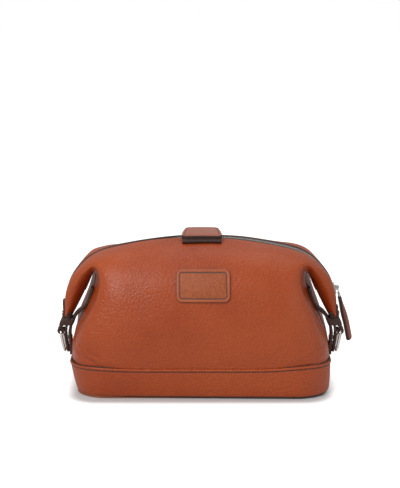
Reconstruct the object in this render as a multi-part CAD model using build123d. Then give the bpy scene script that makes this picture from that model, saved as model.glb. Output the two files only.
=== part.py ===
from build123d import *
import functools
import math
import os

# Framed leather shaving kit bag, in millimetres.
# Origin at the middle of the underside, +Z up, the front faces -Y, X runs along the bag's length.
# A leather body stands on a stiff base band. Two hinged steel bars in leather hems frame the zipped mouth. Their ends
# hang outside the body as ears, and a strap and buckle tie each ear down to the end of the body.

# ---- base ----
BAND_LENGTH = 254.0          # base band, at its top edge
BAND_WIDTH = 126.0
BAND_CORNER = 36.0
BAND_TAPER = 4.0             # the foot is this much smaller on every side
SEAM_Z = 27.5                # where the body is sewn to the band
SKIN = 2.2                   # leather
LINING = 0.8
BOARD = 2.0
CLEAR = 0.35                 # between neighbours that only touch
WELT_HIGH, WELT_PROUD = 2.2, 1.4

# ---- mouth frame ----
RIDGE_Z = 148.0              # top of the closed mouth
HEM_WIDE, HEM_DEEP = 6.0, 5.0      # hem section: across the mouth, and across the frame's line
HEM_Y = 8.0                        # middle of each hem from the zip
BAR = 3.0                          # square steel bar in the hem
FIT = 0.05                         # around the bar, and around a hinge pin
MAIN_R = 355.5                     # radius of the long top of the frame, at the hem's middle
MAIN_END = 14.6                    # degrees, where the top turns into the shoulder
SHOULDER_R = 55.0
HINGE_Z = 70.0                     # the frame's pivot
HEM_END_Z = 76.0                   # where the hems stop above the pivot
PLATE, PLATE_R = 1.5, 4.0          # hinge plate: thickness and end radius
PIN_R = 1.5
HEAD_R = 3.0

# ---- zip ----
ZIP_LIFT = 1.5               # zip plane above the hem's middle
TAPE = 0.8
TEETH_IN, TEETH_OUT = 0.35, 1.7    # one row of teeth, from the middle of the zip
TEETH_HIGH = 2.0
SLIDER_AT = 75.0             # degrees round the shoulder where the closed slider rests
SLIDER_HALF = 5.4            # half the slider's length, in degrees of the shoulder
SLIDER_Y = 4.5               # half the slider's width
CHANNEL = 2.6
SLIDER_PLATE = 1.2
LUG = 2.4                    # the pull's pin stands this high over the slider
PULL_LEAN = 12.0             # degrees the hanging pull leans out
PULL_LONG, PULL_WIDE, PULL_THICK = 46.0, 10.0, 3.6

# ---- straps and buckles ----
STRAP_WIDE = 12.0
STRAP_THICK = 2.2
BUCKLE_BAR = (138.2, 53.6)         # x and z of the buckle's top bar
BUCKLE_END = (134.2, 33.6)         # x and z of its lower bar
WIRE_R = 1.1
PRONG_TIP = (136.25, 33.1)
RIVET_Z = 46.0

# ---- grab tab and patch ----
TAB_WIDE, TAB_THICK = 39.0, 3.2
TAB_FRONT, TAB_BACK = -20.0, 20.5
TAB_Z = 148.8                # underside of the tab
PATCH_X, PATCH_Z = 2.5, 108.0
PATCH_LONG, PATCH_HIGH = 51.5, 29.5
PATCH_THICK = 1.5

MAIN_CENTRE_Z = RIDGE_Z - HEM_DEEP / 2 - MAIN_R
BEND = math.radians(MAIN_END)
SHOULDER_X = (MAIN_R - SHOULDER_R) * math.sin(BEND)
SHOULDER_Z = MAIN_CENTRE_Z + (MAIN_R - SHOULDER_R) * math.cos(BEND)
EAR_X = SHOULDER_X + SHOULDER_R    # the hem's middle on the leg

# The front of the leather body, as the control net of a smooth surface. Each station runs from the seam up to the
# rim, and the stations run from the middle of the front round the corner to the middle of the end.
FRONT_NET = [
    [(0, -63, 27.5), (0, -69, 54), (0, -69, 82), (0, -63, 112), (0, -48, 139), (0, -25, 147.6), (0, -11.7, 147.2)],
    [(48, -63, 27.5), (48, -69, 54), (48, -69, 82), (46, -62, 112), (46, -47, 136), (47, -24, 144.4),
     (48, -11.7, 144)],
    [(92, -63, 27.5), (92, -68, 54), (90, -66, 82), (86, -59, 112), (85, -44, 131), (89, -23, 137.5),
     (92, -11.7, 136.2)],
    [(119, -55, 27.5), (121, -58, 52), (112, -55, 80), (98, -48, 112), (101, -34, 132), (114, -20, 126),
     (123, -11.7, 118.5)],
    [(127, -25, 27.5), (128, -27, 50), (119, -30, 74), (103, -28, 108), (106, -23, 128), (118, -17, 106),
     (134, -14.9, 91)],
    [(127, -8, 27.5), (127.5, -8, 50), (118, -8, 72), (101, -8, 107), (107, -8, 122), (115, -9, 98),
     (125.6, -14.4, 76)],
    [(127, -0.9, 27.5), (127.5, -0.9, 50), (118, -0.9, 72), (101, -0.9, 107), (107, -0.9, 122), (114, -0.9, 98),
     (125.2, -0.9, 73)],
]
WALL_SHARE = 0.5             # the share of each station that stands still when the mouth opens
GRID_U, GRID_V = 37, 13
FULL_NET = [[(-x, y, z) for x, y, z in row] for row in FRONT_NET[:0:-1]] + FRONT_NET

# The strap that hugs the end of the body, the one that hangs from the ear, and the loose tail: x and z of each one's
# middle line at the right end.
BODY_STRAP = [(108.8, 97), (113.9, 84), (118.6, 73.5), (123.2, 66), (127.2, 58.5), (128.6, 50), (128.8, 40),
              (128.6, 30.4)]
EAR_STRAP = [(134.7, 78), (134.7, 72), (134.9, 66.5), (136.3, 61), (139.3, 56.6)]
TAIL = [(131.6, 57), (132.4, 51), (132.3, 44), (131.7, 37), (131.2, 30)]


def rounded(length, width, corner, z):
    """A rounded rectangle at height z."""
    return Pos(0, 0, z) * RectangleRounded(length, width, corner)


def basis(i, degree, t, knots):
    """Cox-de Boor recursion."""
    if degree == 0:
        last = knots[i + 1] == knots[-1] and t == knots[-1] and knots[i] < knots[i + 1]
        return 1.0 if knots[i] <= t < knots[i + 1] or last else 0.0
    total = 0.0
    if knots[i + degree] > knots[i]:
        total += (t - knots[i]) / (knots[i + degree] - knots[i]) * basis(i, degree - 1, t, knots)
    if knots[i + degree + 1] > knots[i + 1]:
        share = (knots[i + degree + 1] - t) / (knots[i + degree + 1] - knots[i + 1])
        total += share * basis(i + 1, degree - 1, t, knots)
    return total


@functools.lru_cache(maxsize=None)
def weights(count, t, degree=3):
    """The share of each of count control points at t, on a clamped cubic, as {index: share}."""
    spans = count - degree
    knots = [0.0] * degree + [i / spans for i in range(spans + 1)] + [1.0] * degree
    shares = ((i, basis(i, degree, t, knots)) for i in range(count))
    return {i: share for i, share in shares if share}


def body_point(u, v):
    """A point of the front leather: u from the left end seam, 0, to the right one, 1; v from base seam to rim."""
    total = [0.0, 0.0, 0.0]
    for i, share_u in weights(len(FULL_NET), u).items():
        for j, share_v in weights(len(FULL_NET[0]), v).items():
            for k in range(3):
                total[k] += FULL_NET[i][j][k] * share_u * share_v
    return Vector(*total)


def body_normal(u, v, step=1e-3):
    """Outward unit normal of the front leather."""
    along = body_point(min(u + step, 1), v) - body_point(max(u - step, 0), v)
    up = body_point(u, min(v + step, 1)) - body_point(u, max(v - step, 0))
    return along.cross(up).normalized()


def skin_solid(v_low, v_high, near, far, u_low=0.0, u_high=1.0):
    """The front leather's surface between two heights, as a solid from near to far below that surface."""
    grids = []
    for depth in (near, far):
        grid = []
        for i in range(GRID_U):
            u = u_low + (u_high - u_low) * i / (GRID_U - 1)
            row = []
            for j in range(GRID_V):
                v = v_low + (v_high - v_low) * j / (GRID_V - 1)
                row.append(body_point(u, v) - body_normal(u, v) * depth)
            grid.append(row)
        grids.append(grid)
    outer, inner = (Face.make_surface_from_array_of_points(grid, tol=0.02, min_deg=1, max_deg=3) for grid in grids)
    sides = []
    for edge in outer.edges():
        twin = min(inner.edges(), key=lambda e: (e @ 0.5 - edge @ 0.5).length)
        sides.append(Face.make_surface_from_curves(edge, twin))
    return Solid(Shell([outer, inner] + sides))


def frame_path(offset, low):
    """The frame's line in the XZ plane, from the left leg over the top to the right leg, moved out by offset."""
    r1, r2 = MAIN_R + offset, SHOULDER_R + offset
    x = SHOULDER_X + r2
    knee = (r1 * math.sin(BEND), MAIN_CENTRE_Z + r1 * math.cos(BEND))
    mid = math.radians((MAIN_END + 90) / 2)
    bulge = (SHOULDER_X + r2 * math.sin(mid), SHOULDER_Z + r2 * math.cos(mid))
    corners = [(-x, low), (-x, SHOULDER_Z), (-bulge[0], bulge[1]), (-knee[0], knee[1]), (0, MAIN_CENTRE_Z + r1),
               knee, bulge, (x, SHOULDER_Z), (x, low)]
    spot = [Vector(px, 0, pz) for px, pz in corners]
    return Wire([Line(spot[0], spot[1]), ThreePointArc(spot[1], spot[2], spot[3]),
                 ThreePointArc(spot[3], spot[4], spot[5]), ThreePointArc(spot[5], spot[6], spot[7]),
                 Line(spot[7], spot[8])])


def along_frame(out, inside, y_low, y_high, low=HEM_END_Z):
    """A bar that follows the frame: between two offsets from the hem's middle, and between two values of y."""
    outer, inner = frame_path(out, low), frame_path(inside, low)
    closing = [Line(outer @ 0, inner @ 0), Line(outer @ 1, inner @ 1)]
    face = Face(Wire(outer.edges() + inner.edges() + closing))
    return extrude(Pos(0, y_low, 0) * face, amount=y_high - y_low, dir=(0, 1, 0))


def strap(points, thick, half_wide=STRAP_WIDE / 2):
    """A strap whose middle line is a smooth curve through (x, z) points. Its width runs along y."""
    middle = Spline([Vector(x, 0, z) for x, z in points])
    left, right = [], []
    count = 4 * len(points)
    for i in range(count + 1):
        spot, way = middle @ (i / count), middle % (i / count)
        out = Vector(way.Z, 0, -way.X) * (thick / 2)
        left.append(spot + out)
        right.append(spot - out)
    a, b = Spline(left), Spline(right)
    face = Face(Wire([a, Line(a @ 1, b @ 1), b, Line(b @ 0, a @ 0)]))
    return extrude(Pos(0, -half_wide, 0) * face, amount=2 * half_wide, dir=(0, 1, 0))


def rod_x(radius, x_low, x_high, z, y=0.0):
    """A cylinder along x."""
    return Pos((x_low + x_high) / 2, y, z) * Rot(0, 90, 0) * Cylinder(radius, x_high - x_low)


def rod_y(radius, y_low, y_high, x, z):
    """A cylinder along y."""
    return Pos(x, (y_low + y_high) / 2, z) * Rot(90, 0, 0) * Cylinder(radius, y_high - y_low)


def rod_between(a, b, radius):
    """A cylinder from one point to another."""
    start, end = Vector(*a), Vector(*b)
    plane = Plane(origin=start, z_dir=end - start)
    return extrude(plane * Circle(radius), amount=(end - start).length)


def base_parts():
    """Band, its lining, the welt on the seam, the bottom, the stiffening board and the floor of the lining."""
    foot = 0.4

    def ring(outside, inside, low, high):
        shells = []
        for inset in (outside, inside):
            ends = []
            for z in (low, high):
                taper = BAND_TAPER * (1 - z / SEAM_Z) + inset
                ends.append(rounded(BAND_LENGTH - 2 * taper, BAND_WIDTH - 2 * taper, BAND_CORNER - taper, z))
            shells.append(loft(ends))
        return shells[0] - shells[1]

    welt_z = SEAM_Z - WELT_HIGH + 0.8
    welt_in = rounded(BAND_LENGTH + 1.0, BAND_WIDTH + 1.0, BAND_CORNER + 0.5, welt_z)
    welt_out = rounded(BAND_LENGTH + 1.0 + 2 * WELT_PROUD, BAND_WIDTH + 1.0 + 2 * WELT_PROUD,
                       BAND_CORNER + 0.5 + WELT_PROUD, welt_z)
    welt = extrude(welt_out - welt_in, amount=WELT_HIGH)
    ends = welt.edges().group_by(Axis.Z)
    outside = [edge for group in (ends[0], ends[-1]) for edge in group
               if abs((edge @ 0.5).Y) > BAND_WIDTH / 2 + 1 or abs((edge @ 0.5).X) > BAND_LENGTH / 2 + 1]
    parts = {
        "base_band": ring(0, SKIN, foot, SEAM_Z - 0.4),
        "band_lining": ring(SKIN + CLEAR, SKIN + CLEAR + LINING, SKIN + BOARD + LINING + 0.3, SEAM_Z - 0.4),
        "base_welt": fillet(outside, WELT_HIGH * 0.4),
    }
    inset = BAND_TAPER + SKIN + CLEAR
    plates = [("bottom_panel", 0.0, SKIN, 0.0), ("base_board", SKIN, BOARD, 0.8),
              ("lining_floor", SKIN + BOARD, LINING, 0.6)]
    for name, low, thick, extra in plates:
        edge = inset + extra
        plate = rounded(BAND_LENGTH - 2 * edge, BAND_WIDTH - 2 * edge, BAND_CORNER - edge, low)
        parts[name] = extrude(plate, amount=thick)
    return parts


def body_parts():
    """Leather walls and tops, and the lining behind them. The patch follows the front."""
    lining, fold = SKIN + CLEAR, SKIN + 1.0
    cuts = {
        "wall": (0.002, WALL_SHARE - 0.003, 0, SKIN),
        "top": (WALL_SHARE, 0.995, 0, SKIN),
        "lining": (0.006, WALL_SHARE - 0.003, lining, lining + LINING),
        "lining_top": (WALL_SHARE, 0.93, fold, fold + LINING, 0.2, 0.8),
    }
    parts = {}
    for name, cut in cuts.items():
        solid = skin_solid(*cut)
        parts["front_" + name] = solid
        parts["back_" + name] = mirror(solid, about=Plane.XZ)
    sheet = skin_solid(0.25, 0.75, -0.2 - PATCH_THICK, -0.2, 0.35, 0.65)
    outline = Plane.XZ.offset(40) * Pos(PATCH_X, PATCH_Z) * RectangleRounded(PATCH_LONG, PATCH_HIGH, 4.0)
    parts["logo_patch"] = sheet & extrude(outline, amount=40)
    return parts


def frame_half(side):
    """One half of the mouth frame: bar with its hinge plates, hem, zip tape and teeth. side is -1 for the front."""
    inner, outer = HEM_Y - HEM_WIDE / 2, HEM_Y + HEM_WIDE / 2
    half = BAR / 2
    bar = along_frame(half, -half, HEM_Y - half, HEM_Y + half, HINGE_Z)
    plate_low = EAR_X - PLATE - 0.2 if side < 0 else EAR_X + 0.2
    for end in (-1, 1):
        low = plate_low if end > 0 else -plate_low - PLATE
        arm = Pos(low + PLATE / 2, HEM_Y / 2 + half / 2, HINGE_Z) * Box(PLATE, HEM_Y + half, 2 * PLATE_R)
        arm += rod_x(PLATE_R, low, low + PLATE, HINGE_Z)
        bar += arm - rod_x(PIN_R + FIT, low, low + PLATE, HINGE_Z)
    pocket = along_frame(half + FIT, -half - FIT, HEM_Y - half - FIT, HEM_Y + half + FIT, HEM_END_Z - 1)
    hem = along_frame(HEM_DEEP / 2, -HEM_DEEP / 2, inner, outer) - pocket
    tape = along_frame(ZIP_LIFT + TAPE / 2, ZIP_LIFT - TAPE / 2, TEETH_OUT + 0.1, inner - 0.1)
    teeth = along_frame(ZIP_LIFT + TEETH_HIGH / 2, ZIP_LIFT - TEETH_HIGH / 2, TEETH_IN, TEETH_OUT, HEM_END_Z + 4)
    stop_angle = math.radians(SLIDER_AT - SLIDER_HALF - 1)
    stop_z = SHOULDER_Z + SHOULDER_R * math.cos(stop_angle)
    teeth -= Pos(EAR_X, 0, stop_z - 50) * Box(60, 20, 100)
    parts = {"frame_bar": bar, "hem": hem, "tape": tape, "teeth": teeth}
    if side < 0:
        parts = {name: mirror(solid, about=Plane.XZ) for name, solid in parts.items()}
    return parts


def slider_point(radius, angle):
    """x and z of a point at a radius and angle round the right shoulder."""
    way = math.radians(angle)
    return SHOULDER_X + radius * math.sin(way), SHOULDER_Z + radius * math.cos(way)


def slider_parts():
    """Slider with its pin, the metal link and the leather pull."""
    zip_r = SHOULDER_R + ZIP_LIFT
    top = zip_r + CHANNEL / 2
    low = zip_r - CHANNEL / 2
    section = Pos(0, top + SLIDER_PLATE / 2) * Rectangle(2 * SLIDER_Y, SLIDER_PLATE)
    section += Pos(0, low - SLIDER_PLATE / 2) * Rectangle(2 * SLIDER_Y, SLIDER_PLATE)
    section += Pos(0, zip_r) * Rectangle(0.4, CHANNEL + 0.2)
    start = math.radians(SLIDER_AT + SLIDER_HALF)
    outward = Vector(math.sin(start), 0, math.cos(start))
    centre = Vector(SHOULDER_X, 0, SHOULDER_Z)
    plane = Plane(origin=centre, x_dir=(0, 1, 0), z_dir=Vector(0, 1, 0).cross(outward))
    body = revolve(plane * section, Axis(centre, (0, -1, 0)), 2 * SLIDER_HALF)
    pin_r = top + SLIDER_PLATE + LUG
    pin = slider_point(pin_r, SLIDER_AT)
    foot = slider_point(top + SLIDER_PLATE * 0.5, SLIDER_AT)
    for side in (-1, 1):
        lug = rod_y(1.5, 1.6, 2.8, *pin)
        lug += Pos((pin[0] + foot[0]) / 2, 2.2, (pin[1] + foot[1]) / 2) * Rot(0, SLIDER_AT, 0) * Box(3, 1.2, 3.1)
        body += lug if side > 0 else mirror(lug, about=Plane.XZ)
    bore = rod_y(0.6, -3.2, 3.2, *pin)
    lean = math.radians(PULL_LEAN)
    down = Vector(math.sin(lean), 0, -math.cos(lean))
    start = Vector(pin[0], 0, pin[1])
    link = rod_y(1.9, -1.3, 1.3, *pin)
    neck = Pos(*(start + down * 3.2)) * Rot(0, -PULL_LEAN, 0) * Box(1.4, 2.6, 5.0)
    clamp = Pos(*(start + down * 7.2)) * Rot(0, -PULL_LEAN, 0) * Box(2.2, 8.0, 3.4)
    link = (link + neck + clamp) - rod_y(0.6 + FIT, -2, 2, *pin)
    middle = start + down * (9.1 + PULL_LONG / 2)
    pull = Box(PULL_THICK, PULL_WIDE, PULL_LONG)
    ends = pull.edges().filter_by(Axis.X)
    pull = Pos(*middle) * Rot(0, -PULL_LEAN, 0) * fillet(ends, 3.4)
    return {"slider_body": body - rod_y(0.6 + FIT, -4, 4, *pin), "slider_pin": bore, "pull_link": link,
            "pull_leather": pull}


def end_parts():
    """Hinge pin, straps, rivet, buckle and prong at the right end."""
    hug = strap(BODY_STRAP, STRAP_THICK) - rod_x(1.5, 120, 140, RIVET_Z)
    ear = strap(EAR_STRAP, STRAP_THICK)
    bar_x, bar_z = BUCKLE_BAR
    wrap = rod_y(WIRE_R + 0.3 + STRAP_THICK, -STRAP_WIDE / 2, STRAP_WIDE / 2, bar_x, bar_z)
    ear += wrap
    ear -= rod_y(WIRE_R + 0.3, -STRAP_WIDE, STRAP_WIDE, bar_x, bar_z)
    ear -= Pos(bar_x, 0, bar_z - 0.6) * Box(12, 3.0, 7.4)
    ear -= rod_x(PIN_R + FIT, 125, 140, HINGE_Z)
    tail = strap(TAIL, STRAP_THICK - 0.2) - rod_x(1.5, 120, 140, RIVET_Z)
    outline = Plane.YZ * Pos(0, 45) * RectangleRounded(STRAP_WIDE, 30, 4.5)
    outline += Plane.YZ * Pos(0, 52) * Rectangle(STRAP_WIDE, 16)
    tail = tail & extrude(outline, amount=200)
    rivet = rod_x(1.4, 127.0, 133.9, RIVET_Z)
    rivet += rod_x(2.6, 126.6, 127.2, RIVET_Z)
    rivet += rod_x(2.6, 133.7, 134.5, RIVET_Z)
    pin = rod_x(PIN_R, 127.9, 137.0, HINGE_Z)
    pin += rod_x(2.4, 127.6, 128.4, HINGE_Z)
    pin += rod_x(HEAD_R, 136.3, 137.2, HINGE_Z)
    end_x, end_z = BUCKLE_END
    side_y = STRAP_WIDE / 2 + 0.5 + WIRE_R
    buckle = rod_y(WIRE_R, -side_y, side_y, bar_x, bar_z) + rod_y(WIRE_R, -side_y, side_y, end_x, end_z)
    for y in (-side_y, side_y):
        buckle += rod_between((bar_x, y, bar_z), (end_x, y, end_z), WIRE_R)
        buckle += Pos(bar_x, y, bar_z) * Sphere(WIRE_R)
        buckle += Pos(end_x, y, end_z) * Sphere(WIRE_R)
    prong = rod_between((bar_x, 0, bar_z), (PRONG_TIP[0], 0, PRONG_TIP[1]), 0.8)
    prong += Pos(PRONG_TIP[0], 0, PRONG_TIP[1]) * Sphere(0.8)
    prong += rod_y(WIRE_R + 1.0, -1.1, 1.1, bar_x, bar_z)
    prong -= rod_y(WIRE_R + FIT, -3, 3, bar_x, bar_z)
    return {"body_strap": hug, "ear_strap": ear, "strap_tail": tail, "strap_rivet": rivet, "hinge_pin": pin,
            "buckle_frame": buckle, "buckle_prong": prong}


def tab_parts():
    """Grab tab of two layers, on a spacer sewn behind the zip."""
    deep = TAB_BACK - TAB_FRONT
    middle = (TAB_BACK + TAB_FRONT) / 2
    under, upper = 1.2, TAB_THICK - 1.3
    outline = Pos(0, middle, TAB_Z) * RectangleRounded(TAB_WIDE, deep, 5.0)
    inset = Pos(0, middle, TAB_Z) * RectangleRounded(TAB_WIDE - 0.6, deep - 0.6, 4.7)
    spacer = Pos(0, 16, TAB_Z - 0.75) * Box(TAB_WIDE - 4, 7, 0.9)
    return {"tab_under": extrude(inset, amount=under),
            "tab_top": Pos(0, 0, under + 0.1) * extrude(outline, amount=upper),
            "tab_spacer": spacer}


def all_parts():
    """Every solid by node name."""
    parts = base_parts()
    parts.update(body_parts())
    for prefix, side in (("front_", -1), ("back_", 1)):
        parts.update({prefix + name: solid for name, solid in frame_half(side).items()})
    parts.update(slider_parts())
    parts.update(tab_parts())
    for name, solid in end_parts().items():
        parts["right_" + name] = solid
        parts["left_" + name] = mirror(solid, about=Plane.YZ)
    return parts


def main():
    os.makedirs("parts", exist_ok=True)
    for name, solid in all_parts().items():
        export_step(solid, f"parts/{name}.step")


if __name__ == "__main__":
    main()
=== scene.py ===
import bmesh
import bpy
import math
import numpy as np
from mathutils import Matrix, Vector, noise


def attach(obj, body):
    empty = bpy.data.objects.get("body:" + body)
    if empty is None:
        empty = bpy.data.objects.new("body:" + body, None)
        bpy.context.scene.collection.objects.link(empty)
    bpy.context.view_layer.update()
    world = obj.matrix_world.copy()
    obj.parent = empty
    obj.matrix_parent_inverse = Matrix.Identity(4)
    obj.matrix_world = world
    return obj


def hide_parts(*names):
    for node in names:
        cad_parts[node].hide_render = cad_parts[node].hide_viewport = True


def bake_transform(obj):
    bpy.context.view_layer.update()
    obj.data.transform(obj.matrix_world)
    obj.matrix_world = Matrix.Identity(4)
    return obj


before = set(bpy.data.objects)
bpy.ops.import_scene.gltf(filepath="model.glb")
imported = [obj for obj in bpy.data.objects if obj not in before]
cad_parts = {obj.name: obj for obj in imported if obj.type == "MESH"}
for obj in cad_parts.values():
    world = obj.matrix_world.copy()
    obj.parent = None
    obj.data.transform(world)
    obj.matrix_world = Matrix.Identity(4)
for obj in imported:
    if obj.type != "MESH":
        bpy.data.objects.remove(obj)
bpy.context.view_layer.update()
scene = bpy.context.scene
MM = 0.001

# ---- dimensions, in millimetres, as in the CAD
BAND_LONG, BAND_WIDE, BAND_CORNER, BAND_TAPER, SEAM_Z = 254.0, 126.0, 36.0, 4.0, 27.5
RIDGE_Z = 30.8
MAIN_R, SHOULDER_R, MAIN_CENTRE_Z = 355.5, 55.0, -210.0
BEND = math.radians(14.6)
SHOULDER_X = (MAIN_R - SHOULDER_R) * math.sin(BEND)
SHOULDER_Z = MAIN_CENTRE_Z + (MAIN_R - SHOULDER_R) * math.cos(BEND)
EAR_X = SHOULDER_X + SHOULDER_R
HEM_END_Z = 76.0
SKIN = 2.0
HINGE_Z = 70.0
HALF_GAP = 0.15                      # each half stops this far from the middle plane
RIM_Y = 5.6                          # where the leather ends beside the zip
LEAN_Y, RIM_LEAN = 11.0, 0.51        # where the zip's lean is whole, and its share at the leather's rim

FRONT_NET = [
    [(0, -62.6, 29.5), (0, -69, 51), (0, -69, 82), (0, -63, 112), (0, -47, 138.5), (0, -24, 146.8),
     (0, -5.6, 148.4)],
    [(48, -62.6, 29.5), (48, -69, 51), (48, -69, 82), (46, -62, 112), (46, -46, 136), (47, -22, 145.2),
     (48, -5.6, 145.4)],
    [(92, -62.6, 29.5), (92, -68, 51), (90, -66, 82), (86, -59, 112), (85, -43, 132), (89, -21, 138.5),
     (93, -5.6, 137)],
    [(119, -54.6, 29.5), (121, -58, 50), (110.5, -55, 80), (98.5, -47, 111), (101, -33, 132),
     (114, -18, 127.5), (120, -5.8, 124)],
    [(126.6, -25, 29.5), (128, -27, 48), (109.5, -32, 76), (84, -32, 107), (104, -26, 130), (121, -19, 107),
     (136.5, -6, 90)],
    [(126.6, -8, 29.5), (127.5, -8, 48), (114.5, -8, 73), (100.5, -8, 104), (105, -8, 122), (114, -9, 96),
     (134, -7, 65)],
    [(126.6, 0, 29.5), (127.5, 0, 48), (114.5, 0, 73), (101, 0, 104), (105.5, 0, 120), (111, 0, 97),
     (128.5, 0, 65.5)],
]
# The back half flares out further at its ends and stands a little higher at its shoulders.
BACK_CHANGES = {(0, 4): (0, 0, -1.5), (1, 4): (0, 0, -1.5), (0, 5): (0, 0, -3.6), (1, 5): (0, 0, -3.4),
                (2, 5): (0, 0, -1.2), (3, 4): (0, 2, 2), (3, 5): (-1, -3, 5.5), (4, 2): (12.5, 2, 0),
                (4, 3): (24, 2, -1), (4, 4): (2.5, 2, -1), (4, 5): (-3, 2, 2), (5, 2): (4, 0, 0),
                (5, 3): (4, 0, 1)}


def control_net(side):
    """Control points of one half's leather, from the left end to the right one. side is -1 at the front."""
    half = np.array(FRONT_NET, float)
    if side > 0:
        for (i, j), change in BACK_CHANGES.items():
            half[i, j] += change
    return np.concatenate([half[:0:-1] * (-1, 1, 1), half])


# ---- small helpers
def smooth(low, high, t):
    """0 below low, 1 above high, smooth between them. Works on arrays."""
    t = np.clip((np.asarray(t, float) - low) / (high - low), 0, 1)
    return t * t * (3 - 2 * t)


def make(name, points, faces, material, flat=False):
    """A mesh object from points in mm. material is one material, or a list of them and an index per face."""
    mesh = bpy.data.meshes.new(name)
    spots = [tuple(p) for p in np.asarray(points, float) * MM]
    mesh.from_pydata(spots, [], [list(map(int, face)) for face in faces])
    materials, index = material if isinstance(material, tuple) else ([material], None)
    for m in materials:
        mesh.materials.append(m)
    if index is not None:
        mesh.polygons.foreach_set("material_index", list(index))
    mesh.polygons.foreach_set("use_smooth", [not flat] * len(mesh.polygons))
    mesh.update()
    obj = bpy.data.objects.new(name, mesh)
    scene.collection.objects.link(obj)
    return obj


def fix_normals(obj):
    """Turns every face outwards."""
    work = bmesh.new()
    work.from_mesh(obj.data)
    bmesh.ops.recalc_face_normals(work, faces=work.faces)
    work.to_mesh(obj.data)
    work.free()
    return obj


def grid_faces(rows, columns, start=0, close_rows=False, close_columns=False):
    """Quads over a grid of rows x columns points, stored row by row."""
    faces = []
    for i in range(rows if close_rows else rows - 1):
        for j in range(columns if close_columns else columns - 1):
            a, b = i * columns + j, i * columns + (j + 1) % columns
            c, d = ((i + 1) % rows) * columns + (j + 1) % columns, ((i + 1) % rows) * columns + j
            faces.append((start + a, start + b, start + c, start + d))
    return faces


def joined(pieces):
    """One set of points and faces from several."""
    faces = []
    start = 0
    for spots, quads in pieces:
        faces += [tuple(start + k for k in face) for face in quads]
        start += len(spots)
    return np.concatenate([np.asarray(spots, float) for spots, _ in pieces]), faces


def finish_piece(obj, body, cad, slot):
    """The piece rides on a body and replaces the CAD node cad if there is one. slot is not used."""
    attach(obj, body)
    if cad:
        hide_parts(cad)


def add_piece(name, points, faces, look, body, cad=None, slot=None, flat=False):
    finish_piece(fix_normals(make(name, points, faces, look, flat)), body, cad, slot)


def unit(vectors):
    """The same directions at length 1. Works on one vector or a row of them."""
    return vectors / np.linalg.norm(vectors, axis=-1, keepdims=True)


def run_along(path):
    """Distance from the start of a path, at each of its points."""
    return np.concatenate([[0], np.cumsum(np.linalg.norm(np.diff(path, axis=0), axis=1))])


def spline_shares(count, ts, degree=3):
    """B-spline basis on a clamped uniform knot row: one row per t, one column per control point."""
    spans = count - degree
    knots = np.array([0.0] * degree + [i / spans for i in range(spans + 1)] + [1.0] * degree)
    ts = np.clip(np.asarray(ts, float), 0, 1 - 1e-9)
    table = ((knots[:-1] <= ts[:, None]) & (ts[:, None] < knots[1:])).astype(float)
    for d in range(1, degree + 1):
        new = np.zeros((len(ts), len(knots) - 1 - d))
        for i in range(len(knots) - 1 - d):
            if knots[i + d] > knots[i]:
                new[:, i] += (ts - knots[i]) / (knots[i + d] - knots[i]) * table[:, i]
            if knots[i + d + 1] > knots[i + 1]:
                new[:, i] += (knots[i + d + 1] - ts) / (knots[i + d + 1] - knots[i + 1]) * table[:, i + 1]
        table = new
    return table


def surface(us, vs, side):
    """Points of one half's leather, as if it were the front: an array of us x vs x 3."""
    net = control_net(side)
    return np.einsum("ui,vj,ijk->uvk", spline_shares(net.shape[0], us), spline_shares(net.shape[1], vs), net)


def grid_normals(points):
    """Unit normals of a grid of points, pointing out of the bag."""
    normal = np.cross(np.gradient(points, axis=0), np.gradient(points, axis=1))
    return normal / np.maximum(np.linalg.norm(normal, axis=2, keepdims=True), 1e-9)


MAIN_RUN = MAIN_R * BEND
SHOULDER_RUN = SHOULDER_R * (math.pi / 2 - BEND)
FRAME_HALF = SHOULDER_Z - HEM_END_Z + SHOULDER_RUN + MAIN_RUN      # from the top's middle to a leg's end


def frame_line(s, out=0.0):
    """A point (x, z) of the frame's line and its outward normal. s is -1 and 1 at the ends of the legs."""
    run = abs(s) * FRAME_HALF
    if run < MAIN_RUN:
        angle, radius, centre = run / MAIN_R, MAIN_R, (0, MAIN_CENTRE_Z)
    else:
        angle, radius = BEND + (run - MAIN_RUN) / SHOULDER_R, SHOULDER_R
        centre = (SHOULDER_X, SHOULDER_Z - max(0.0, run - MAIN_RUN - SHOULDER_RUN))
    angle = min(angle, math.pi / 2)
    normal = np.array([math.sin(angle), math.cos(angle)])
    mirror = np.array([1 if s >= 0 else -1, 1])
    return mirror * (centre + (radius + out) * normal), mirror * normal


def twist(x):
    """How far the zip's plane leans towards the front, in mm of lift at the back rim, along the length."""
    right = smooth(8, 42, x) * (1 - smooth(92, 114, x))
    left = smooth(14, 50, -x) * (1 - smooth(100, 120, -x))
    return 1.5 * right - 0.8 * left


def zip_dip(x):
    """The zip sinks a little between its rims along the left half."""
    return 1.0 * smooth(10, 40, -x)


def seam_rise(x, y):
    """How far the seam over the base band climbs near the front corners. y is negative at the front."""
    hump = 2.6 * np.exp(-((x - 104) / 26) ** 2) + 1.4 * np.exp(-((x + 102) / 24) ** 2)
    return hump * smooth(5, 45, -y)


# ---- materials
def material(name):
    m = bpy.data.materials.new(name)
    m.use_nodes = True
    tree = m.node_tree
    tree.nodes.clear()
    out = tree.nodes.new("ShaderNodeOutputMaterial")
    shader = tree.nodes.new("ShaderNodeBsdfPrincipled")
    tree.links.new(shader.outputs[0], out.inputs[0])
    return m, tree, shader


def node(tree, kind, inputs=None, **settings):
    n = tree.nodes.new(kind)
    for key, value in settings.items():
        setattr(n, key, value)
    for key, value in (inputs or {}).items():
        if isinstance(value, bpy.types.NodeSocket):
            tree.links.new(value, n.inputs[key])
        else:
            n.inputs[key].default_value = value
    return n


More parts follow.
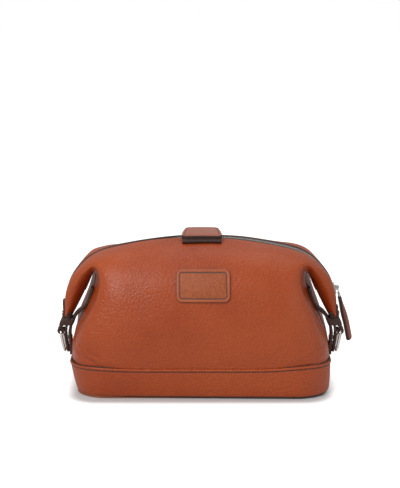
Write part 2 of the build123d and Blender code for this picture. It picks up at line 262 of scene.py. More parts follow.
def ramp(tree, source, stops):
    n = node(tree, "ShaderNodeValToRGB", {"Fac": source})
    elements = n.color_ramp.elements
    while len(elements) < len(stops):
        elements.new(0.5)
    for element, (position, colour) in zip(elements, stops):
        element.position = position
        element.color = (*colour, 1)
    return n.outputs["Color"]


def math_node(tree, operation, a, b=0.0):
    return node(tree, "ShaderNodeMath", {0: a, 1: b}, operation=operation).outputs[0]


def mix_colour(tree, factor, a, b, blend="MIX"):
    return node(tree, "ShaderNodeMix", {0: factor, 6: a, 7: b}, data_type="RGBA", blend_type=blend).outputs[2]


def remap(tree, value, source, result, kind="LINEAR"):
    """A value carried from the range source to the range result."""
    ends = dict(zip(("From Min", "From Max", "To Min", "To Max"), (*source, *result)))
    return node(tree, "ShaderNodeMapRange", {"Value": value, **ends}, interpolation_type=kind).outputs[0]


def speckle(tree, where, scale, detail, roughness=0.5):
    """The outputs of a noise texture."""
    return node(tree, "ShaderNodeTexNoise",
                {"Vector": where, "Scale": scale, "Detail": detail, "Roughness": roughness}).outputs


def stretch(tree, where, scale):
    return node(tree, "ShaderNodeMapping", {"Vector": where, "Scale": scale}).outputs[0]


def shift_by(tree, operation, a, b):
    """Vector arithmetic. b is a vector, or the factor when the operation is SCALE."""
    key = "Scale" if operation == "SCALE" else 1
    return node(tree, "ShaderNodeVectorMath", {0: a, key: b}, operation=operation).outputs[0]


def finish_look(tree, shader, colour, height, depth, strength=1.0):
    """Colour and bump on the shader. depth is the bump's distance in mm."""
    tree.links.new(colour, shader.inputs["Base Color"])
    bump = node(tree, "ShaderNodeBump", {"Height": height, "Strength": strength, "Distance": depth * MM})
    tree.links.new(bump.outputs[0], shader.inputs["Normal"])


def leather(name, base, dark, light, grain, depth=0.42, rough=(0.38, 0.56), coat=0.10, streak=0.0):
    """Pebbled leather: cells with creases between them, and slow changes of tone. grain is the cell in mm."""
    m, tree, shader = material(name)
    where = node(tree, "ShaderNodeTexCoord").outputs["Object"]
    wobble = speckle(tree, where, 160.0, 2.0)["Color"]
    wobble = shift_by(tree, "SCALE", shift_by(tree, "SUBTRACT", wobble, (0.5, 0.5, 0.5)), 0.0016)
    warped = shift_by(tree, "ADD", where, wobble)
    cells = node(tree, "ShaderNodeTexVoronoi", {"Vector": warped, "Scale": 1000 / grain, "Smoothness": 0.55},
                 feature="SMOOTH_F1")
    small = node(tree, "ShaderNodeTexVoronoi", {"Vector": warped, "Scale": 2300 / grain}, feature="F1")
    pebble = math_node(tree, "MULTIPLY", math_node(tree, "SUBTRACT", 1.0, cells.outputs["Distance"]), 0.8)
    fine = math_node(tree, "MULTIPLY", math_node(tree, "SUBTRACT", 1.0, small.outputs["Distance"]), 0.2)
    pebble = math_node(tree, "ADD", pebble, fine)
    area = remap(tree, speckle(tree, where, 14.0, 2.0)["Fac"], (0.3, 0.7), (0.65, 1.15))
    height = math_node(tree, "MULTIPLY", pebble, area)
    tone = speckle(tree, where, 9.0, 5.0, 0.6)["Fac"]
    colour = ramp(tree, tone, [(0.30, dark), (0.50, base), (0.72, light)])
    if streak:
        lines = speckle(tree, stretch(tree, where, (900.0, 900.0, 120.0)), 1.0, 3.0)["Fac"]
        shade = ramp(tree, lines, [(0.35, (0.72, 0.68, 0.66)), (0.6, (1.0, 1.0, 1.0))])
        colour = mix_colour(tree, streak, colour, mix_colour(tree, 1.0, colour, shade, "MULTIPLY"))
        height = math_node(tree, "ADD", math_node(tree, "MULTIPLY", height, 0.4), lines)
    valley = remap(tree, pebble, (0.45, 0.72), (0.70, 1.0))
    grey = node(tree, "ShaderNodeCombineColor", {0: valley, 1: valley, 2: valley}).outputs[0]
    colour = mix_colour(tree, 0.35, colour, mix_colour(tree, 1.0, colour, grey, "MULTIPLY"))
    dull = remap(tree, speckle(tree, where, 40.0, 3.0)["Fac"], (0.3, 0.7), rough)
    tree.links.new(dull, shader.inputs["Roughness"])
    finish_look(tree, shader, colour, height, depth)
    shader.inputs["Coat Weight"].default_value = coat
    shader.inputs["Coat Roughness"].default_value = 0.35
    shader.inputs["Specular IOR Level"].default_value = 0.36
    return m


def woven(name, base, light, pitch=0.6, rough=0.85, depth=0.12, axes=("x", "y")):
    """Plain weave: two crossed sets of threads with a little fuzz. pitch is the thread in mm."""
    m, tree, shader = material(name)
    where = node(tree, "ShaderNodeTexCoord").outputs["Object"]
    split = node(tree, "ShaderNodeSeparateXYZ", {0: where})
    rate = math.tau / (2 * pitch * MM)
    runs = [math_node(tree, "MULTIPLY", split.outputs["xyz".index(axis)], rate) for axis in axes]
    weave = math_node(tree, "MULTIPLY", *[math_node(tree, "SINE", run) for run in runs])
    fuzz = math_node(tree, "MULTIPLY", speckle(tree, where, 900.0, 3.0)["Fac"], 0.4)
    height = math_node(tree, "ADD", math_node(tree, "ABSOLUTE", weave), fuzz)
    colour = ramp(tree, math_node(tree, "MULTIPLY", height, 0.7), [(0.1, base), (0.8, light)])
    finish_look(tree, shader, colour, height, depth)
    shader.inputs["Roughness"].default_value = rough
    shader.inputs["Sheen Weight"].default_value = 0.25
    return m


def metal(name, colour, rough):
    """Polished or brushed metal with fine scratches and slight tarnish. rough is its range of roughness."""
    m, tree, shader = material(name)
    where = node(tree, "ShaderNodeTexCoord").outputs["Object"]
    blot = speckle(tree, where, 260.0, 4.0)["Fac"]
    scratches = speckle(tree, stretch(tree, where, (4000.0, 700.0, 500.0)), 1.0, 2.0)["Fac"]
    tone = ramp(tree, blot, [(0.3, tuple(c * 0.82 for c in colour)), (0.65, colour)])
    tree.links.new(remap(tree, blot, (0.3, 0.7), rough), shader.inputs["Roughness"])
    shader.inputs["Metallic"].default_value = 1.0
    finish_look(tree, shader, tone, scratches, 0.02, strength=0.5)
    return m


BODY = leather("body_leather", (0.385, 0.058, 0.0065), (0.325, 0.044, 0.0045), (0.43, 0.071, 0.010),
               grain=2.0, depth=0.75, rough=(0.34, 0.50), coat=0.12)
EDGE = leather("edge_leather", (0.062, 0.026, 0.018), (0.036, 0.014, 0.010), (0.10, 0.042, 0.030), grain=0.7,
               depth=0.08, rough=(0.4, 0.55))
BOTTOM = leather("bottom_leather", (0.30, 0.09, 0.035), (0.20, 0.06, 0.022), (0.36, 0.12, 0.05), grain=1.1)
LINING = woven("lining", (0.075, 0.045, 0.030), (0.15, 0.10, 0.07), pitch=0.5, axes=("x", "z"))
FLOOR_LINING = woven("floor_lining", (0.075, 0.045, 0.030), (0.15, 0.10, 0.07), pitch=0.5)
STEEL = metal("frame_steel", (0.060, 0.052, 0.048), rough=(0.42, 0.6))
STRAP = leather("strap_leather", (0.27, 0.060, 0.024), (0.19, 0.038, 0.015), (0.33, 0.080, 0.032),
                grain=1.2, depth=0.2)
TAB = leather("tab_leather", (0.42, 0.105, 0.045), (0.34, 0.075, 0.030), (0.48, 0.14, 0.065), grain=1.6,
              depth=0.25, rough=(0.30, 0.42), coat=0.35)
BORDER = leather("patch_border", (0.42, 0.095, 0.030), (0.34, 0.070, 0.020), (0.47, 0.12, 0.040),
                 grain=1.3, depth=0.12)
PATCH = leather("patch_leather", (0.40, 0.095, 0.025), (0.34, 0.074, 0.018), (0.45, 0.118, 0.036),
                grain=1.5, depth=0.3, streak=0.85)
TAPE = woven("zip_tape", (0.030, 0.017, 0.012), (0.085, 0.052, 0.038), pitch=0.45)
BRIGHT = metal("bright_metal", (0.86, 0.84, 0.80), rough=(0.10, 0.2))
TEETH = metal("zip_metal", (0.52, 0.50, 0.47), rough=(0.16, 0.3))
CHROME = metal("slider_metal", (0.58, 0.57, 0.55), rough=(0.10, 0.2))
BRASS = metal("rivet_metal", (0.78, 0.74, 0.66), rough=(0.16, 0.28))
THREAD = woven("thread", (0.085, 0.036, 0.022), (0.14, 0.062, 0.040), pitch=0.18, rough=0.7, depth=0.04)


# ---- leather body
CREASES = [
    # x and z along each fold, its depth and half width
    ([(-126, 62), (-123, 52), (-117, 43), (-108, 38), (-100, 34)], 0.9, 2.0),
    ([(-118, 50), (-112, 42), (-103, 39)], -0.6, 1.8),
    ([(-108, 45), (-101, 42), (-92, 37)], 0.5, 1.6),
    ([(96, 36), (104, 40), (112, 47), (118, 50)], 0.55, 1.6),
    ([(101, 35), (110, 38), (119, 44)], 0.45, 1.5),
]


def crease_depth(x, z):
    """How far the leather is pressed in by the folds near the lower corners."""
    total = np.zeros_like(x)
    for line, depth, width in CREASES:
        best = np.full_like(x, 1e9)
        for (ax, az), (bx, bz) in zip(line, line[1:]):
            run_x, run_z = bx - ax, bz - az
            t = np.clip(((x - ax) * run_x + (z - az) * run_z) / (run_x ** 2 + run_z ** 2), 0, 1)
            best = np.minimum(best, np.hypot(x - ax - t * run_x, z - az - t * run_z))
        groove = np.exp(-(best / width) ** 2)
        banks = np.exp(-((best - 1.9 * width) / width) ** 2)
        total += depth * (groove - 0.45 * banks)
    return total


RIM_LIFT = 2.9
FRAME_TABLE = [(s, *frame_line(s, RIM_LIFT)[0]) for s in np.linspace(-1, 1, 801)]
FRAME_TABLE += [(way, way * (EAR_X + RIM_LIFT), z) for way in (-1, 1) for z in np.linspace(62, HEM_END_Z, 50)]


def rim_targets(rim):
    """For each rim point, the nearest point of the frame's line, lifted over the hem."""
    table = np.array(FRAME_TABLE)
    gap = np.hypot(rim[:, None, 0] - table[None, :, 1], rim[:, None, 2] - table[None, :, 2])
    near = table[gap.argmin(axis=1)]
    return np.stack([near[:, 1], np.full(len(rim), -RIM_Y), near[:, 2]], axis=1)


WRAP_FROM = 0.76
WAVE_RATE, WAVE_HEIGHT = 0.028, 1.5  # per mm and in mm


def wrap_legs(points, starts, target, us, vs):
    """On the legs the leather turns round the front of the hem before it meets the rim."""
    share = smooth(0.60, 0.70, np.abs(2 * us - 1)) * (1 - smooth(0.965, 1.0, np.abs(2 * us - 1)))
    way = np.sign(target[:, :1])
    over = target + way * np.array([1.6, 0.0, 0.0]) + np.array([0.0, -11.0, 0.8])
    for j in np.nonzero(vs > WRAP_FROM)[0]:
        t = (vs[j] - WRAP_FROM) / (1 - WRAP_FROM)
        bent = (1 - t) ** 2 * starts + 2 * t * (1 - t) * over + t * t * target
        points[:, j] += (bent - points[:, j]) * share[:, None]
    return points


def shell_points(us, vs, side):
    """Outer points and normals of one half's leather, with its waves and folds. side is -1 at the front."""
    points = surface(us, vs, side)
    rim = surface(us, [1.0], side)[:, 0]
    hold = 1 - smooth(0.93, 0.995, np.abs(2 * us - 1))
    target = rim + (rim_targets(rim) - rim) * hold[:, None]
    points = points + (target - rim)[:, None] * smooth(0.7, 1, vs)[None, :, None]
    starts = surface(us, [WRAP_FROM], side)[:, 0] + (target - rim) * smooth(0.7, 1, WRAP_FROM)
    points = wrap_legs(points, starts, target, us, vs)
    normals = grid_normals(points)
    x, z = points[..., 0], points[..., 2]
    spots = points * WAVE_RATE + (0, 7 * side, 0)
    waves = np.array([[noise.noise(Vector(spot)) for spot in row] for row in spots])
    hold = smooth(0, 0.12, vs)[None, :] * (1 - smooth(0.85, 1, vs))[None, :]
    hold = hold * (1 - smooth(0.9, 0.99, np.abs(2 * us - 1)))[:, None]
    lift = WAVE_HEIGHT * waves * hold
    lift -= crease_depth(x, z) * (1 if side < 0 else 0.6) * smooth(0.0, 0.05, vs)[None, :]
    points = points + normals * lift[..., None]
    points[..., 2] += smooth(0.82, 1.0, vs)[None, :] * side * twist(x) * RIM_LEAN
    points[..., 2] += (1 - smooth(0, 0.13, vs))[None, :] * seam_rise(x, points[..., 1] * -side)
    if side > 0:
        dip = smooth(30, 60, -x) * (1 - smooth(96, 112, -x))
        points[..., 2] -= 1.8 * dip * (smooth(0.55, 0.8, vs) * (1 - smooth(0.88, 1, vs)))[None, :]
    return points, grid_normals(points)


def closed_shell(outer, inner):
    """Points and faces of a sheet between two grids of the same size."""
    rows, columns = outer.shape[:2]
    size = rows * columns
    points = np.concatenate([outer.reshape(-1, 3), inner.reshape(-1, 3)])
    faces = [tuple(reversed(f)) for f in grid_faces(rows, columns)]
    faces += grid_faces(rows, columns, size)
    rim = [(i, 0) for i in range(rows)] + [(rows - 1, j) for j in range(1, columns)]
    rim += [(i, columns - 1) for i in range(rows - 2, -1, -1)] + [(0, j) for j in range(columns - 2, 0, -1)]
    for k, (i, j) in enumerate(rim):
        a, b = i * columns + j, rim[(k + 1) % len(rim)]
        b = b[0] * columns + b[1]
        faces.append((a, b, b + size, a + size))
    return points, faces


def follow_mouth(obj, shares):
    """Bakes the piece's placement into its mesh. shares is not used."""
    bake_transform(obj)


def opening(vs):
    """Share of the frame's motion up the leather."""
    return smooth(0.40, 0.97, vs)


def mouth_share(us, vs):
    """Share of the frame's motion: rising up each station, and none where the two halves meet at the ends."""
    return opening(vs)[None, :] * (1 - smooth(0.93, 1.0, np.abs(2 * us - 1)))[:, None]


def flipped(points, side):
    """Points that were made as if for the front, moved to their own half."""
    return points * np.array([1, -side, 1])


def add_shell(name, side, cad):
    """One half's leather, smooth leather outside and lining inside below its turned rim."""
    us, vs = np.linspace(0, 1, 281), np.linspace(0, 1, 112)
    outer, normals = shell_points(us, vs, side)
    inner = outer - normals * SKIN * (1 - 0.25 * smooth(0.9, 1, vs))[None, :, None]
    for sheet in (outer, inner):
        sheet[..., 1] = np.minimum(sheet[..., 1], -HALF_GAP)
    shares = mouth_share(us, vs)
    points, faces = closed_shell(outer, inner)
    quads = (len(us) - 1) * (len(vs) - 1)
    lined = [1 if vs[k % (len(vs) - 1)] < 0.955 else 0 for k in range(quads)]
    index = [0] * quads + lined + [0] * (len(faces) - 2 * quads)
    obj = fix_normals(make(name, flipped(points, side), faces, ([BODY, LINING], index)))
    follow_mouth(obj, np.concatenate([shares.ravel(), shares.ravel()]))
    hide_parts(*cad)


def lining_sheet(us, vs, side):
    """One sheet of lining inside the leather, reaching down to the base's own lining."""
    base, normals = shell_points(us, vs, side)
    depth = SKIN + 0.6
    outer = base - normals * depth
    inner = base - normals * (depth + 0.7)
    for sheet in (outer, inner):
        sheet[..., 1] = np.minimum(sheet[..., 1], -0.4)
        sheet[..., 2] -= 3.5 * (1 - smooth(0, 0.05, vs))[None, :]
    points, faces = closed_shell(outer, inner)
    shares = mouth_share(us, vs)
    return points, faces, np.concatenate([shares.ravel(), shares.ravel()])


def add_lining(name, side, cad):
    """One half's lining: a wide sheet, and a lower one at each end where the leather folds in."""
    sheets = [lining_sheet(np.linspace(0.115, 0.885, 100), np.linspace(0.0, 0.96, 62), side)]
    for low, high in ((0.0, 0.12), (0.88, 1.0)):
        sheets.append(lining_sheet(np.linspace(low, high, 26), np.linspace(0.0, 0.56, 38), side))
    points, faces = joined([(spots, quads) for spots, quads, _ in sheets])
    obj = fix_normals(make(name, flipped(points, side), faces, LINING))
    follow_mouth(obj, np.concatenate([shares for _, _, shares in sheets]))
    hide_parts(*cad)


add_shell("front_leather", -1, ["front_wall", "front_top"])
add_shell("back_leather", 1, ["back_wall", "back_top"])


# ---- mouth rims
RIM_PROFILE = [(10.9, 0.6), (9.0, 0.75), (6.6, 1.0), (6.1, 2.6), (5.6, 3.0), (5.1, 2.75), (4.8, 2.2),
               (4.75, 1.6), (5.0, 1.0), (5.05, -1.6), (5.7, -2.5), (8.0, -2.8), (10.2, -2.5), (10.9, -1.6)]
RIM_MIDDLE = 8.0


def sweep_frame(profile, s_low, s_high, steps, side, taper=0.0, sunk=False):
    """Rings of a profile of (y, lift) carried along the frame. Returns an array of steps x profile x 3."""
    rings = []
    for s in np.linspace(s_low, s_high, steps):
        spot, out = frame_line(s)
        shift = side * twist(spot[0])
        down = zip_dip(spot[0]) if sunk else 0.0
        end = 1.0
        if taper:
            end = math.sqrt(max(0.02, 1 - max(0.0, (abs(s) - (1 - taper)) / taper) ** 2))
        ring = []
        for y, lift in profile:
            yy = RIM_MIDDLE + (y - RIM_MIDDLE) * end
            amount = lift * end + shift * min(1.0, yy / LEAN_Y) - down
            ring.append((spot[0] + out[0] * amount, side * yy, spot[1] + out[1] * amount))
        rings.append(ring)
    return np.array(rings)


def closed_sweep(rings):
    """Points and faces of a tube of closed rings with flat ends."""
    rows, columns = rings.shape[:2]
    faces = grid_faces(rows, columns, close_columns=True)
    faces.append(tuple(range(columns)))
    faces.append(tuple(range(rows * columns - 1, (rows - 1) * columns - 1, -1)))
    return rings.reshape(-1, 3), faces


def add_rim(name, side, half):
    """The painted leather hem that holds one half of the frame."""
    rings = sweep_frame(RIM_PROFILE, -1, 1, 300, side, taper=0.012)
    add_piece(name + "_rim", *closed_sweep(rings), EDGE, half, name + "_hem", "edge_leather")


add_rim("front", -1, "front_frame")
add_rim("back", 1, "back_frame")
add_lining("front_inside", -1, ["front_lining", "front_lining_top"])
add_lining("back_inside", 1, ["back_lining", "back_lining_top"])


# ---- base band
def rounded_loop(half_wide, half_deep, corner, inset, count):
    """Points round a rounded rectangle, evenly spread by share so that loops of different inset line up."""
    a, b = half_wide - corner, half_deep - corner
    radius = max(corner - inset, 0.02)
    shrink = max(0.0, inset - corner)
    near_a, near_b = max(0.0, a - shrink), max(0.0, b - shrink)
    centres = [(near_a, near_b), (-near_a, near_b), (-near_a, -near_b), (near_a, -near_b)]
    lengths = [2 * b, corner * math.pi / 2, 2 * a, corner * math.pi / 2] * 2
    loop = []
    for k in range(count):
        run, part = k / count * sum(lengths), 0
        while run > lengths[part]:
            run -= lengths[part]
            part += 1
        quarter, arc = part // 2, part % 2
        share = run / lengths[part]
        cx, cy = centres[quarter]
        angle = quarter * math.pi / 2
        if arc:
            angle += share * math.pi / 2
        else:
            px, py = centres[quarter - 1]
            cx, cy = px + (cx - px) * share, py + (cy - py) * share
        loop.append((cx + radius * math.cos(angle), cy + radius * math.sin(angle)))
    return np.array(loop)


def outline(count):
    """Points and outward directions round the band's top edge."""
    loop = rounded_loop(BAND_LONG / 2, BAND_WIDE / 2, BAND_CORNER, 0.0, count)
    core = np.array([BAND_LONG / 2 - BAND_CORNER, BAND_WIDE / 2 - BAND_CORNER])
    return np.concatenate([loop, (loop - np.clip(loop, -core, core)) / BAND_CORNER], axis=1)


def band_inset(z, x):
    """Inset of the band's face at height z: it tapers to the foot, more at the left end than at the right."""
    return (BAND_TAPER - 2.7 * x / 127) * np.maximum(0, 1 - z / SEAM_Z)


BAND_FACE = [(5.6, 0.4, 1), (4.0, 0.3, 1), (2.6, 0.35, 1), (1.7, 0.6, 1), (1.25, 1.1, 1), (1.1, 1.9, 1),
             (0.75, 2.3, 1), (0.25, 2.7, 0), (0.0, 3.4, 0), (-0.1, 5, 0), (-0.3, 9, 0), (-0.4, 13, 0),
             (-0.3, 17, 0), (-0.15, 21, 0), (-0.05, 24.5, 0), (0.0, 26.1, 0), (0.05, 26.6, 0),
             (0.4, 27.1, 1), (0.45, 27.6, 1), (0.1, 28.1, 1), (-0.45, 28.4, 0), (-0.75, 28.9, 0),
             (-0.8, 29.6, 0), (-0.6, 30.2, 0), (-0.2, 30.6, 0), (0.25, 30.7, 1), (0.9, 30.6, 1),
             (1.4, 30.0, 1), (1.7, 27.0, 0), (2.0, 24.0, 0), (3.8, 13.0, 0), (6.2, 3.0, 0), (8.6, 2.2, 0)]


def band_ring(x, y, nx, ny, profile):
    """A profile of (inset, z, look) at one place of the outline. Its face and foot take the band's taper."""
    ring = []
    for inset, z, _ in profile:
        tapered = z < 2.5 or (z < SEAM_Z and inset < 1.5)
        inside = inset + (band_inset(z, x) if tapered else 0.0)
        lift = float(seam_rise(x, y) * smooth(15, 27, z))
        ring.append((x - nx * inside, y - ny * inside, z + lift))
    return ring


def add_band():
    """The band: a painted foot, a long plain face, and a raised ridge over a stitched groove at the top."""
    looks, steps = [row[2] for row in BAND_FACE], 420
    turns = np.linspace(0, math.tau, 8, endpoint=False)
    cord = [(1.2 - 0.62 * math.cos(t), RIDGE_Z + 0.1 + 0.62 * math.sin(t), 0) for t in turns]
    index = [min(looks[j], looks[(j + 1) % len(looks)]) for _ in range(steps) for j in range(len(looks))]
    for name, profile, look, cad, slot in (
            ("base_leather", BAND_FACE, ([BODY, EDGE], index), "base_band", "body_leather"),
            ("base_edge", cord, EDGE, "base_welt", "edge_leather")):
        rings = np.array([band_ring(*spot, profile) for spot in outline(steps)])
        faces = grid_faces(*rings.shape[:2], close_rows=True, close_columns=True)
        add_piece(name, rings.reshape(-1, 3), faces, look, "bag", cad, slot)


add_band()


# ---- plates and stitches
def cap_faces(start, count):
    """Quads across a loop of points, which join its two sides."""
    last = start + count - 1
    return [(start + j, start + j + 1, last - 1 - j, last - j) for j in range(count // 2 - 1)]


def plate(name, half_wide, half_deep, corner, profile, place, looks, under=None, count=132):
    """A rounded plate. profile holds (inset, height, look) from the edge's foot to the middle of the top.
    place turns (p, q, height) into points, looks lists the materials, under is the underside's height."""
    under = profile[0][1] if under is None else under
    deepest, first = profile[-1][0], profile[0][0] + 0.6
    rows = [(deepest + (first - deepest) * share, under, 0) for share in (0, 0.25, 0.5, 0.75, 0.92, 1.0)]
    rows += list(profile)
    rings = []
    for inset, height, _ in rows:
        loop = rounded_loop(half_wide, half_deep, corner, inset, count)
        rings.append(place(loop[:, 0], loop[:, 1], np.full(count, float(height))))
    rings = np.array(rings)
    faces = grid_faces(len(rows), count, close_columns=True)
    index = [rows[i + 1][2] for i in range(len(rows) - 1) for _ in range(count)]
    for row in (0, len(rows) - 1):
        faces += cap_faces(row * count, count)
        index += [rows[row][2]] * (count // 2 - 1)
    return fix_normals(make(name, rings.reshape(-1, 3), faces, (looks, index)))


def stitch_run(path, normals, length, gap, radius, closed=False):
    """Points and faces of stitches along a path: short threads whose ends dip into the leather."""
    path, normals = np.asarray(path, float), np.asarray(normals, float)
    if closed:
        path, normals = np.concatenate([path, path[:1]]), np.concatenate([normals, normals[:1]])
    run = run_along(path)
    number = max(1, int(run[-1] / (length + gap)))
    pitch = run[-1] / number
    stations = np.array([0.0, 0.12, 0.35, 0.65, 0.88, 1.0])
    widths = np.array([0.35, 0.8, 1.0, 1.0, 0.8, 0.35]) * radius
    lifts = np.array([-0.35, 0.045, 0.15, 0.15, 0.045, -0.35]) * radius / 0.3
    points, faces = [], []
    for k in range(number):
        at = k * pitch + (pitch - length) / 2 + stations * length
        spots = np.stack([np.interp(at, run, path[:, c]) for c in range(3)], axis=1)
        ways = unit(np.stack([np.interp(at, run, normals[:, c]) for c in range(3)], axis=1))
        across = np.cross(unit(np.gradient(spots, axis=0)), ways)
        start = len(points)
        for spot, way, side, width, lift in zip(spots, ways, across, widths, lifts):
            for angle in (turn * math.pi / 3 for turn in range(6)):
                rise, reach = lift + width * math.sin(angle) * 0.8, width * math.cos(angle)
                points.append(spot + way * rise + side * reach)
        faces += grid_faces(6, 6, start, close_columns=True)
        faces.append(tuple(start + t for t in range(5, -1, -1)))
        faces.append(tuple(start + 30 + t for t in range(6)))
    return np.array(points), faces


def stitches(name, body, path, normals, length, gap, radius):
    """A closed row of stitches as a piece of its own."""
    add_piece(name, *stitch_run(path, normals, length, gap, radius, closed=True), THREAD, body)


# ---- patch on the front
PATCH_X, PATCH_Z, PATCH_HALF_X, PATCH_HALF_Z, PATCH_CORNER = 2.5, 112.0, 25.75, 14.9, 5.6
PATCH_US, PATCH_VS = np.linspace(0.36, 0.66, 161), np.linspace(0.42, 0.86, 181)
PATCH_POINTS, PATCH_NORMALS = shell_points(PATCH_US, PATCH_VS, -1)


def on_front(x, z):
    """Points, normals and v of the front leather at the given x and z."""
    flat = PATCH_POINTS.reshape(-1, 3)
    columns = len(PATCH_VS)
    spots, ways, shares = [], [], []
    for px, pz in zip(np.ravel(x), np.ravel(z)):
        near = int(np.hypot(flat[:, 0] - px, flat[:, 2] - pz).argmin())
        i, j = min(max(near // columns, 1), len(PATCH_US) - 2), min(max(near % columns, 1), columns - 2)
        du = (PATCH_POINTS[i + 1, j] - PATCH_POINTS[i - 1, j]) / 2
        dv = (PATCH_POINTS[i, j + 1] - PATCH_POINTS[i, j - 1]) / 2
        a, b = np.linalg.solve(np.array([[du[0], dv[0]], [du[2], dv[2]]]),
                               np.array([px - PATCH_POINTS[i, j, 0], pz - PATCH_POINTS[i, j, 2]]))
        spots.append(PATCH_POINTS[i, j] + a * du + b * dv)
        ways.append(PATCH_NORMALS[i, j])
        shares.append(PATCH_VS[j] + b * (PATCH_VS[1] - PATCH_VS[0]))
    return np.array(spots), np.array(ways), np.array(shares)


def add_patch():
    """A blank patch in a turned border, with stitches in a groove."""
    seen = []

    def place(p, q, height):
        """Lays the plate on the leather, and keeps each point's share of the opening."""
        spots, ways, shares = on_front(PATCH_X + p, PATCH_Z + q)
        seen.append(shares)
        return spots + ways * height[:, None]

    profile = [(0.0, -0.3, 1), (0.0, 0.75, 1), (0.12, 1.15, 1), (0.45, 1.42, 1), (0.9, 1.5, 0),
               (1.7, 1.62, 0), (2.4, 1.55, 0), (2.9, 1.3, 0), (3.2, 0.95, 3), (3.7, 0.95, 3),
               (4.0, 1.25, 3), (4.5, 1.35, 2), (6.5, 1.32, 2), (8.5, 1.36, 2), (10.5, 1.38, 2),
               (12.5, 1.38, 2), (14.3, 1.38, 2)]
    obj = plate("front_patch", PATCH_HALF_X, PATCH_HALF_Z, PATCH_CORNER, profile, place,
                [BORDER, EDGE, PATCH, THREAD])
    follow_mouth(obj, opening(np.concatenate(seen)))
    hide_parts("logo_patch")
    loop = rounded_loop(PATCH_HALF_X, PATCH_HALF_Z, PATCH_CORNER, 3.45, 240)
    spots, ways, shares = on_front(PATCH_X + loop[:, 0], PATCH_Z + loop[:, 1])
    points, faces = stitch_run(spots + ways, ways, 2.0, 0.8, 0.27, closed=True)
    obj = fix_normals(make("front_patch_stitches", points, faces, THREAD))
    near = np.array([int(((spots - p) ** 2).sum(axis=1).argmin()) for p in points])
    follow_mouth(obj, opening(shares[near]))


add_patch()


# ---- stitches round the base and up the ends
def add_band_stitches():
    """A row of stitches in the groove under the ridge, all round."""
    spots = outline(900)
    path = [band_ring(*spot, [(0.32, 27.5, 0)])[0] for spot in spots]
    ways = [(nx, ny, -0.15) for _, _, nx, ny in spots]
    stitches("base_stitches", "bag", path, ways, 3.0, 1.1, 0.36)


def add_end_seams():
    """A covered seam where the two halves of the body meet, up the middle of each end."""
    line = shell_points(np.linspace(0.985, 1.0, 4), np.linspace(0.0, 0.90, 70), -1)[0][-1]
    shape = [(-1.6, -0.5), (-1.52, 0.25), (-0.96, 0.55), (0, 0.65), (0.96, 0.55), (1.52, 0.25), (1.6, -0.5)]
    for way, label in ((-1, "left"), (1, "right")):
        rings = []
        for spot, along in zip(line, unit(np.gradient(line, axis=0))):
            out = np.cross(np.array([0.0, 1.0, 0.0]), along)
            rings.append([(way * (spot[0] + out[0] * h), w, spot[2] + out[2] * h) for w, h in shape])
        add_piece(label + "_end_seam", *closed_sweep(np.array(rings)), BODY, "bag", None, "body_leather")


add_band_stitches()
add_end_seams()


# ---- grab tab
TAB_HALF_X, TAB_FRONT, TAB_BACK, TAB_CORNER = 19.5, -20.0, 20.5, 5.0


def add_painted_shadow_pad():
    """A dark pad under the tab's front and a little in front of it, shaped to the leather below it: a painted
    shadow of the tab's overhang.
    """
    us, vs = np.linspace(0.40, 0.60, 81), np.linspace(0.72, 1.0, 90)
    under, _ = shell_points(us, vs, -1)
    flat = under.reshape(-1, 3)
    xs, ys = np.linspace(-17.6, 20.0, 40), np.linspace(-23.5, -9.0, 18)
    low = np.zeros((len(xs), len(ys), 3))
    for i, x in enumerate(xs):
        for j, y in enumerate(ys):
            near = np.argsort((flat[:, 0] - x) ** 2 + (flat[:, 1] - y) ** 2)[:3]
            low[i, j] = (x, y, min(148.4, flat[near, 2].max() + 0.35))
    high = low.copy()
    high[..., 2] = 149.2
    add_piece("tab_painted_shadow_pad", *closed_shell(high, low), EDGE, "grab_tab", None, "edge_leather")


def add_tab():
    """Two leathers sewn together, with a dark pad below them that is a painted shadow of the tab's overhang.
    They narrow towards the back and sag at the front.
    """
    middle = (TAB_FRONT + TAB_BACK) / 2
    deep = (TAB_BACK - TAB_FRONT) / 2

    def place(p, q, height):
        sag = -0.0009 * p * p - 0.0016 * np.maximum(0, -q - 8) ** 2
        narrow = 1 - 0.17 * smooth(-14, 24, q) ** 1.5
        return np.stack([p * narrow + 1.2, middle + q, height + sag], axis=1)

    top = [(0.25, 150.2, 1), (0.0, 150.5, 1), (0.0, 152.3, 1), (0.3, 152.9, 1), (0.8, 153.2, 0),
           (1.5, 153.35, 0), (2.2, 153.25, 0), (2.6, 152.95, 0), (3.0, 152.95, 0), (3.4, 153.25, 0),
           (4.4, 153.4, 0), (7, 153.45, 0), (11, 153.45, 0), (15, 153.45, 0), (19.0, 153.45, 0)]
    obj = plate("tab_upper", TAB_HALF_X, deep, TAB_CORNER, top, place, [TAB, EDGE], under=150.2)
    finish_piece(obj, "grab_tab", "tab_top", "tab_leather")
    low = [(0.5, 148.4, 1), (0.05, 148.7, 1), (-0.1, 149.3, 1), (0.05, 149.9, 1), (0.35, 150.15, 1),
           (8, 150.15, 1), (19.0, 150.15, 1)]
    obj = plate("tab_lower", TAB_HALF_X, deep, TAB_CORNER, low, place, [TAB, EDGE], under=148.4)
    finish_piece(obj, "grab_tab", "tab_under", "tab_leather")
    add_painted_shadow_pad()
    loop = rounded_loop(TAB_HALF_X, deep, TAB_CORNER, 2.8, 400)
    path = place(loop[:, 0], loop[:, 1], np.full(len(loop), 153.0))
    stitches("tab_stitches", "grab_tab", path, np.tile((0, 0, 1.0), (len(loop), 1)), 2.2, 0.9, 0.3)


add_tab()


